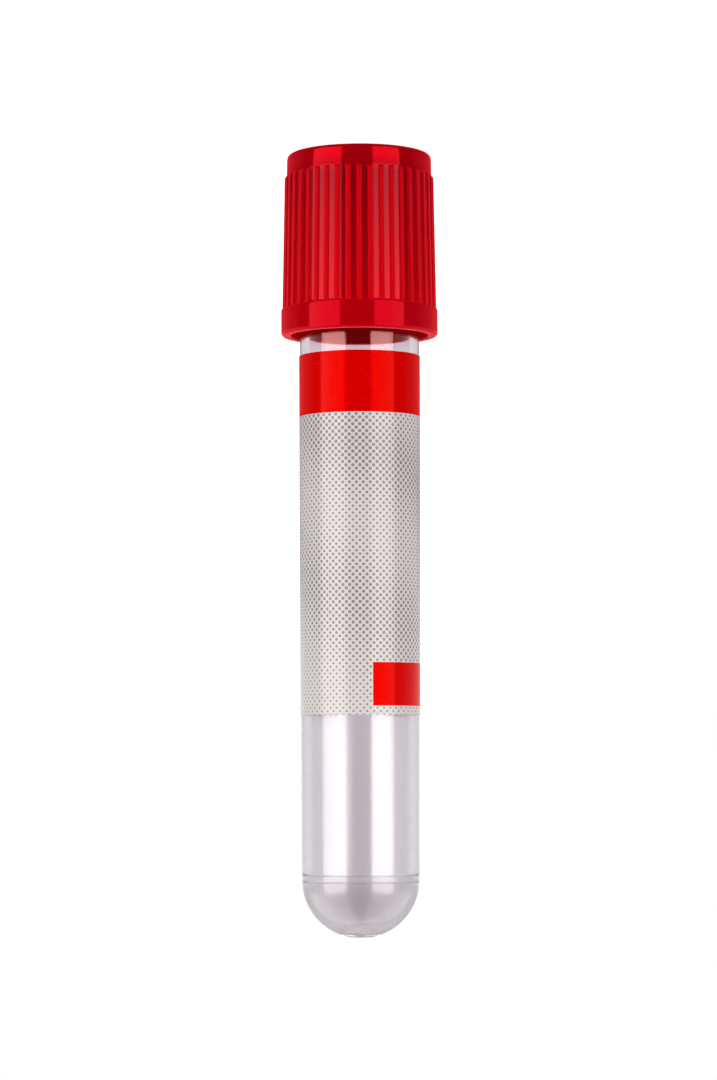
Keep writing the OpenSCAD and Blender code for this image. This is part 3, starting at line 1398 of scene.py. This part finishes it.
@dataclass
class Stopper:
    """The rubber stopper: flange, plug with a hollow tip, needle well and septum."""

    plug_r: float = 5.47
    tip_z: float = 67.62
    closure_z: float = 75.02
    flange_r: float = 7.25
    flange_top_z: float = 79.02
    chamfer: float = 0.6
    recess_r: float = 3.2
    recess_depth: float = 4.2
    well_r: float = 3.6
    well_depth: float = 3.3
    edge_round: float = 0.3
    flange_round: float = 0.2
    bottom_round: float = 0.8
    segments: int = 144

    def build(self, dresser: Dresser) -> None:
        """Makes the stopper and puts it in the frame."""
        line = Outline(closed=False)
        line.to(0, self.tip_z + self.recess_depth)
        line.to(self.recess_r, self.tip_z + self.recess_depth, self.bottom_round)
        line.to(self.recess_r, self.tip_z, self.edge_round)
        line.to(self.plug_r - self.chamfer, self.tip_z, self.flange_round)
        line.to(self.plug_r, self.tip_z + self.chamfer, self.edge_round)
        line.to(self.plug_r, self.closure_z)
        line.to(self.flange_r, self.closure_z, self.flange_round)
        line.to(self.flange_r, self.flange_top_z, self.flange_round)
        line.to(self.well_r, self.flange_top_z, self.edge_round)
        line.to(self.well_r, self.flange_top_z - self.well_depth, self.bottom_round)
        line.to(0, self.flange_top_z - self.well_depth)
        mesh = spin("stopper_rubber", line, self.segments, Corner.SOFT)
        materials = [ButylRubber().build()]
        dresser.add(mesh, materials, Body.CLOSURE, "stopper_rubber", ("stopper",))


# --------------------------------------------------------------------------------------
# Studio
# --------------------------------------------------------------------------------------


@dataclass(frozen=True)
class Panel:
    """An upright panel that faces the tube, given as it is seen from the tube's axis."""

    name: str
    start: float
    end: float
    low: float
    high: float
    radiance: float
    distance: float = 0.45

    @property
    def middle(self) -> float:
        """Bearing of the panel's middle, in degrees from the camera's side."""
        return (self.start + self.end) / 2

    @property
    def width(self) -> float:
        """Width of the panel, in metres."""
        return 2 * self.distance * math.tan(math.radians(abs(self.end - self.start) / 2))

    @property
    def matrix(self) -> Matrix:
        """Place of the panel: its local -z looks at the axis, its local y is up."""
        a = math.radians(self.middle)
        out = Vector((-math.sin(a), -math.cos(a), 0))
        spot = out * self.distance + Vector((0, 0, (self.low + self.high) / 2))
        turn = (-out).to_track_quat("-Z", "Y").to_matrix().to_4x4()
        return Matrix.Translation(spot) @ turn


@dataclass
class Studio:
    """Pale floor and world and two tall softboxes, as a product set has.

    Each softbox has a dimmer, narrower rim above it, and its light spills over the set
    higher up, so that highlights fade out in the round end. Rings are strengths by
    bearing in degrees from the camera's side; rises are heights of a direction, from -1,
    straight down, to 1, straight up.
    """

    softboxes: tuple[Panel, ...] = (
        Panel("softbox_left", -28.0, -78.0, -0.45, 0.25, 5.0),
        Panel("softbox_right", 22.0, 68.0, -0.45, 0.25, 5.0),
        Panel("softbox_left_rim", -30.0, -76.0, 0.25, 0.3, 2.4),
        Panel("softbox_right_rim", 24.0, 66.0, 0.25, 0.3, 2.4),
    )
    # What reflections see below the horizon: screens in front, the pale set behind.
    mirrored: tuple[Point, ...] = (
        (-180.0, 1.0), (-108.0, 1.0), (-98.0, 0.15), (-74.0, 0.15), (-70.0, 0.3),
        (-32.0, 0.3), (-28.0, 0.03), (28.0, 0.03), (32.0, 0.3), (62.0, 0.3),
        (66.0, 0.0), (90.0, 0.0), (102.0, 1.0), (180.0, 1.0),
    )
    # And above it.
    mirrored_above: tuple[Point, ...] = (
        (-180.0, 1.0), (-74.0, 1.0), (-68.0, 0.3), (-32.0, 0.3), (-28.0, 0.03),
        (22.0, 0.03), (26.0, 0.3), (64.0, 0.3), (70.0, 1.0), (180.0, 1.0),
    )
    horizon: tuple[float, float] = (-0.06, -0.02)
    mirrored_by_rise: tuple[Point, ...] = (
        (-1.0, 0.05), (-0.4, 0.05), (-0.25, 0.2), (-0.06, 0.2),
        (-0.02, 1.0), (0.07, 1.0), (0.11, 0.4), (1.0, 0.4),
    )
    spill: tuple[Point, ...] = (
        (-180.0, 0.0), (-136.0, 0.0), (-116.0, 1.4), (-34.0, 1.4), (-22.0, 0.0),
        (16.0, 0.0), (28.0, 1.4), (112.0, 1.4), (132.0, 0.0), (180.0, 0.0),
    )
    spill_from: tuple[float, float] = (0.2, 0.34)
    fill: tuple[float, float] = (0.22, 1.0)
    floor_glow: float = 0.82
    floor_colour: str = "#BCBCBC"
    floor_half: float = 4.0
    # The floor lies this far below the cap, so that the two faces don't flicker.
    floor_drop_mm: float = 0.02

    def rings(
        self, tree: bpy.types.NodeTree, way: bpy.types.Node
    ) -> list[bpy.types.NodeSocket]:
        """Works out the three rings' strengths in a direction.

        Args:
            tree: The world's tree.
            way: The node that gives the direction's parts.

        Returns:
            The strengths of mirrored, mirrored_above and spill.
        """
        bearing = add_node(
            tree,
            "ShaderNodeMath",
            {0: way.outputs["X"], 1: way.outputs["Y"]},
            operation="ARCTAN2",
        )
        share = add_node(tree, "ShaderNodeMapRange", {0: bearing, 1: -math.pi, 2: math.pi})
        out = []
        for ring in (self.mirrored, self.mirrored_above, self.spill):
            ramp = add_node(tree, "ShaderNodeValToRGB", {0: share})
            fill_ramp(ramp, [((at + 180) / 360, grey(value)) for at, value in ring])
            out.append(ramp.outputs[0])
        return out

    def surroundings(
        self, tree: bpy.types.NodeTree
    ) -> tuple[bpy.types.NodeSocket, bpy.types.NodeSocket]:
        """Works out what lies round the object: pale behind it, dark screens before it.

        Args:
            tree: The world's tree.

        Returns:
            The strength in each direction for reflections, and as soft light.
        """
        place = add_node(tree, "ShaderNodeTexCoord")
        turned = add_node(
            tree,
            "ShaderNodeVectorMath",
            {0: place.outputs["Generated"], 1: (-1, -1, 1)},
            operation="MULTIPLY",
        )
        way = add_node(tree, "ShaderNodeSeparateXYZ", {0: turned})
        level = way.outputs["Z"]
        low_ring, high_ring, spill_ring = self.rings(tree, way)
        path = add_node(tree, "ShaderNodeLightPath")
        in_clear = add_node(
            tree,
            "ShaderNodeMath",
            {0: path.outputs["Transmission Depth"], 1: MET_ONE},
            operation="GREATER_THAN",
        )
        below, above = self.horizon
        raised = add_node(
            tree, "ShaderNodeMapRange", {0: level, 1: below, 2: above, 3: in_clear, 4: 1.0}
        )
        around = add_node(
            tree, "ShaderNodeMix", {0: raised, 6: low_ring, 7: high_ring}, data_type="RGBA"
        )
        rise = add_node(tree, "ShaderNodeMapRange", {0: level, 1: -1.0, 2: 1.0})
        upright = add_node(tree, "ShaderNodeValToRGB", {0: rise})
        fill_ramp(
            upright, [((at + 1) / 2, grey(value)) for at, value in self.mirrored_by_rise]
        )
        share_seen = add_node(
            tree, "ShaderNodeMath", {0: upright, 1: in_clear}, operation="MAXIMUM"
        )
        set_seen = add_node(
            tree,
            "ShaderNodeMath",
            {0: around.outputs[2], 1: share_seen},
            operation="MULTIPLY",
        )
        first, last = self.spill_from
        spilled = add_node(
            tree, "ShaderNodeMapRange", {0: level, 1: first, 2: last, 3: 0.0, 4: spill_ring}
        )
        mirrored = add_node(tree, "ShaderNodeMath", {0: set_seen, 1: spilled})
        low, high = self.fill
        soft = add_node(tree, "ShaderNodeMapRange", {0: low_ring, 3: low, 4: high})
        return mirrored.outputs[0], soft.outputs[0]

    def world(self) -> None:
        """Makes the pale world: white to look at, dimmer as light on the object."""
        world = bpy.data.worlds.new("studio_world")
        world.use_nodes = True
        tree = world.node_tree
        tree.nodes.clear()
        path = add_node(tree, "ShaderNodeLightPath")
        mirrored, soft = self.surroundings(tree)
        lit = add_node(
            tree,
            "ShaderNodeMapRange",
            {0: path.outputs["Is Glossy Ray"], 3: soft, 4: mirrored},
        )
        straight = add_node(
            tree,
            "ShaderNodeMath",
            {0: path.outputs["Glossy Depth"], 1: MET_ONE},
            operation="LESS_THAN",
        )
        through = add_node(
            tree,
            "ShaderNodeMath",
            {0: path.outputs["Is Transmission Ray"], 1: straight},
            operation="MULTIPLY",
        )
        seen = add_node(
            tree,
            "ShaderNodeMath",
            {0: path.outputs["Is Camera Ray"], 1: through},
            operation="MAXIMUM",
        )
        strength = add_node(tree, "ShaderNodeMapRange", {0: seen, 3: lit, 4: 1.0})
        back = add_node(
            tree, "ShaderNodeBackground", {"Color": srgb("#FFFFFF"), "Strength": strength}
        )
        add_node(tree, "ShaderNodeOutputWorld", {0: back})
        bpy.context.scene.world = world

    def floor_paint(self) -> bpy.types.Material:
        """Makes the floor's paint: it glows a little, so that only shadows show on it."""
        material, tree = new_material("floor_paint")
        glow = add_node(tree, "ShaderNodeEmission", {"Strength": self.floor_glow})
        matte = add_node(tree, "ShaderNodeBsdfDiffuse", {"Color": srgb(self.floor_colour)})
        dark = add_node(tree, "ShaderNodeEmission", {"Strength": 0.0})
        path = add_node(tree, "ShaderNodeLightPath")
        lit = add_node(
            tree,
            "ShaderNodeMixShader",
            {0: path.outputs["Is Diffuse Ray"], 1: glow, 2: dark},
        )
        both = add_node(tree, "ShaderNodeAddShader", {0: lit, 1: matte})
        clear = add_node(tree, "ShaderNodeBsdfTransparent")
        mirrored = add_node(
            tree,
            "ShaderNodeMath",
            {0: path.outputs["Glossy Depth"], 1: MET_ONE},
            operation="GREATER_THAN",
        )
        shown = add_node(tree, "ShaderNodeMixShader", {0: mirrored, 1: both, 2: clear})
        close_material(tree, shown.outputs[0])
        return material

    def floor(self) -> None:
        """Lays the floor."""
        half, z = self.floor_half, -self.floor_drop_mm * MM
        corners = [(-half, -half, z), (half, -half, z), (half, half, z), (-half, half, z)]
        mesh = new_mesh("floor", corners, [(0, 1, 2, 3)])
        mesh.materials.append(self.floor_paint())
        put_in_scene("floor", mesh)

    def lights(self) -> None:
        """Hangs the softboxes."""
        for panel in self.softboxes:
            lamp = bpy.data.lights.new(panel.name, "AREA")
            lamp.shape = "RECTANGLE"
            lamp.size, lamp.size_y = panel.width, panel.high - panel.low
            lamp.energy = panel.radiance * math.pi * lamp.size * lamp.size_y
            obj = put_in_scene(panel.name, lamp)
            obj.matrix_world = panel.matrix
            obj.visible_camera = False

    def build(self) -> None:
        """Sets up the whole studio."""
        bpy.context.scene.view_settings.view_transform = "Standard"
        self.world()
        self.floor()
        self.lights()


@dataclass
class Camera:
    """The camera: by the label's lower edge, tilted a little towards the cap.

    Its places are drawn millimetres, and it is turned over, as the tube is.
    """

    lens: float = 109.65
    sensor: float = 36.0
    shift: float = 0.15
    side: float = -0.2
    away: float = 357.0
    eye_z: float = 19.8
    aim_z: float = 25.48
    lean: float = -0.14

    def build(self, datum: Datum) -> None:
        """Places the camera; its top points down the frame's z, towards the cap."""
        data = bpy.data.cameras.new("camera")
        data.lens, data.sensor_width = self.lens, self.sensor
        data.shift_y = self.shift
        spot = datum.place(self.side, -self.away, self.eye_z)
        ahead = (datum.place(self.side, 0, self.aim_z) - spot).normalized()
        right = ahead.cross(Vector((0, 0, -1))).normalized()
        top = right.cross(ahead)
        turn = Matrix((right, top, -ahead)).transposed().to_4x4()
        roll = Matrix.Rotation(math.radians(self.lean), 4, "Z")
        camera = put_in_scene("camera", data)
        camera.matrix_world = Matrix.Translation(spot) @ turn @ roll
        bpy.context.scene.camera = camera


def main() -> None:
    """Builds every piece in order, then the studio and the camera."""
    logging.basicConfig(level=logging.INFO, format="%(name)s: %(message)s")
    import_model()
    datum = Datum.from_frame()
    dresser = Dresser(datum)
    tube = ClearTube()
    tube.build(dresser)
    Label(tube).build(dresser)
    red = CapPolyethylene().build()
    Cap().build(dresser, red)
    CapRing().build(dresser, red)
    Stopper().build(dresser)
    Studio().build()
    Camera().build(datum)


if __name__ == "__main__":
    main()
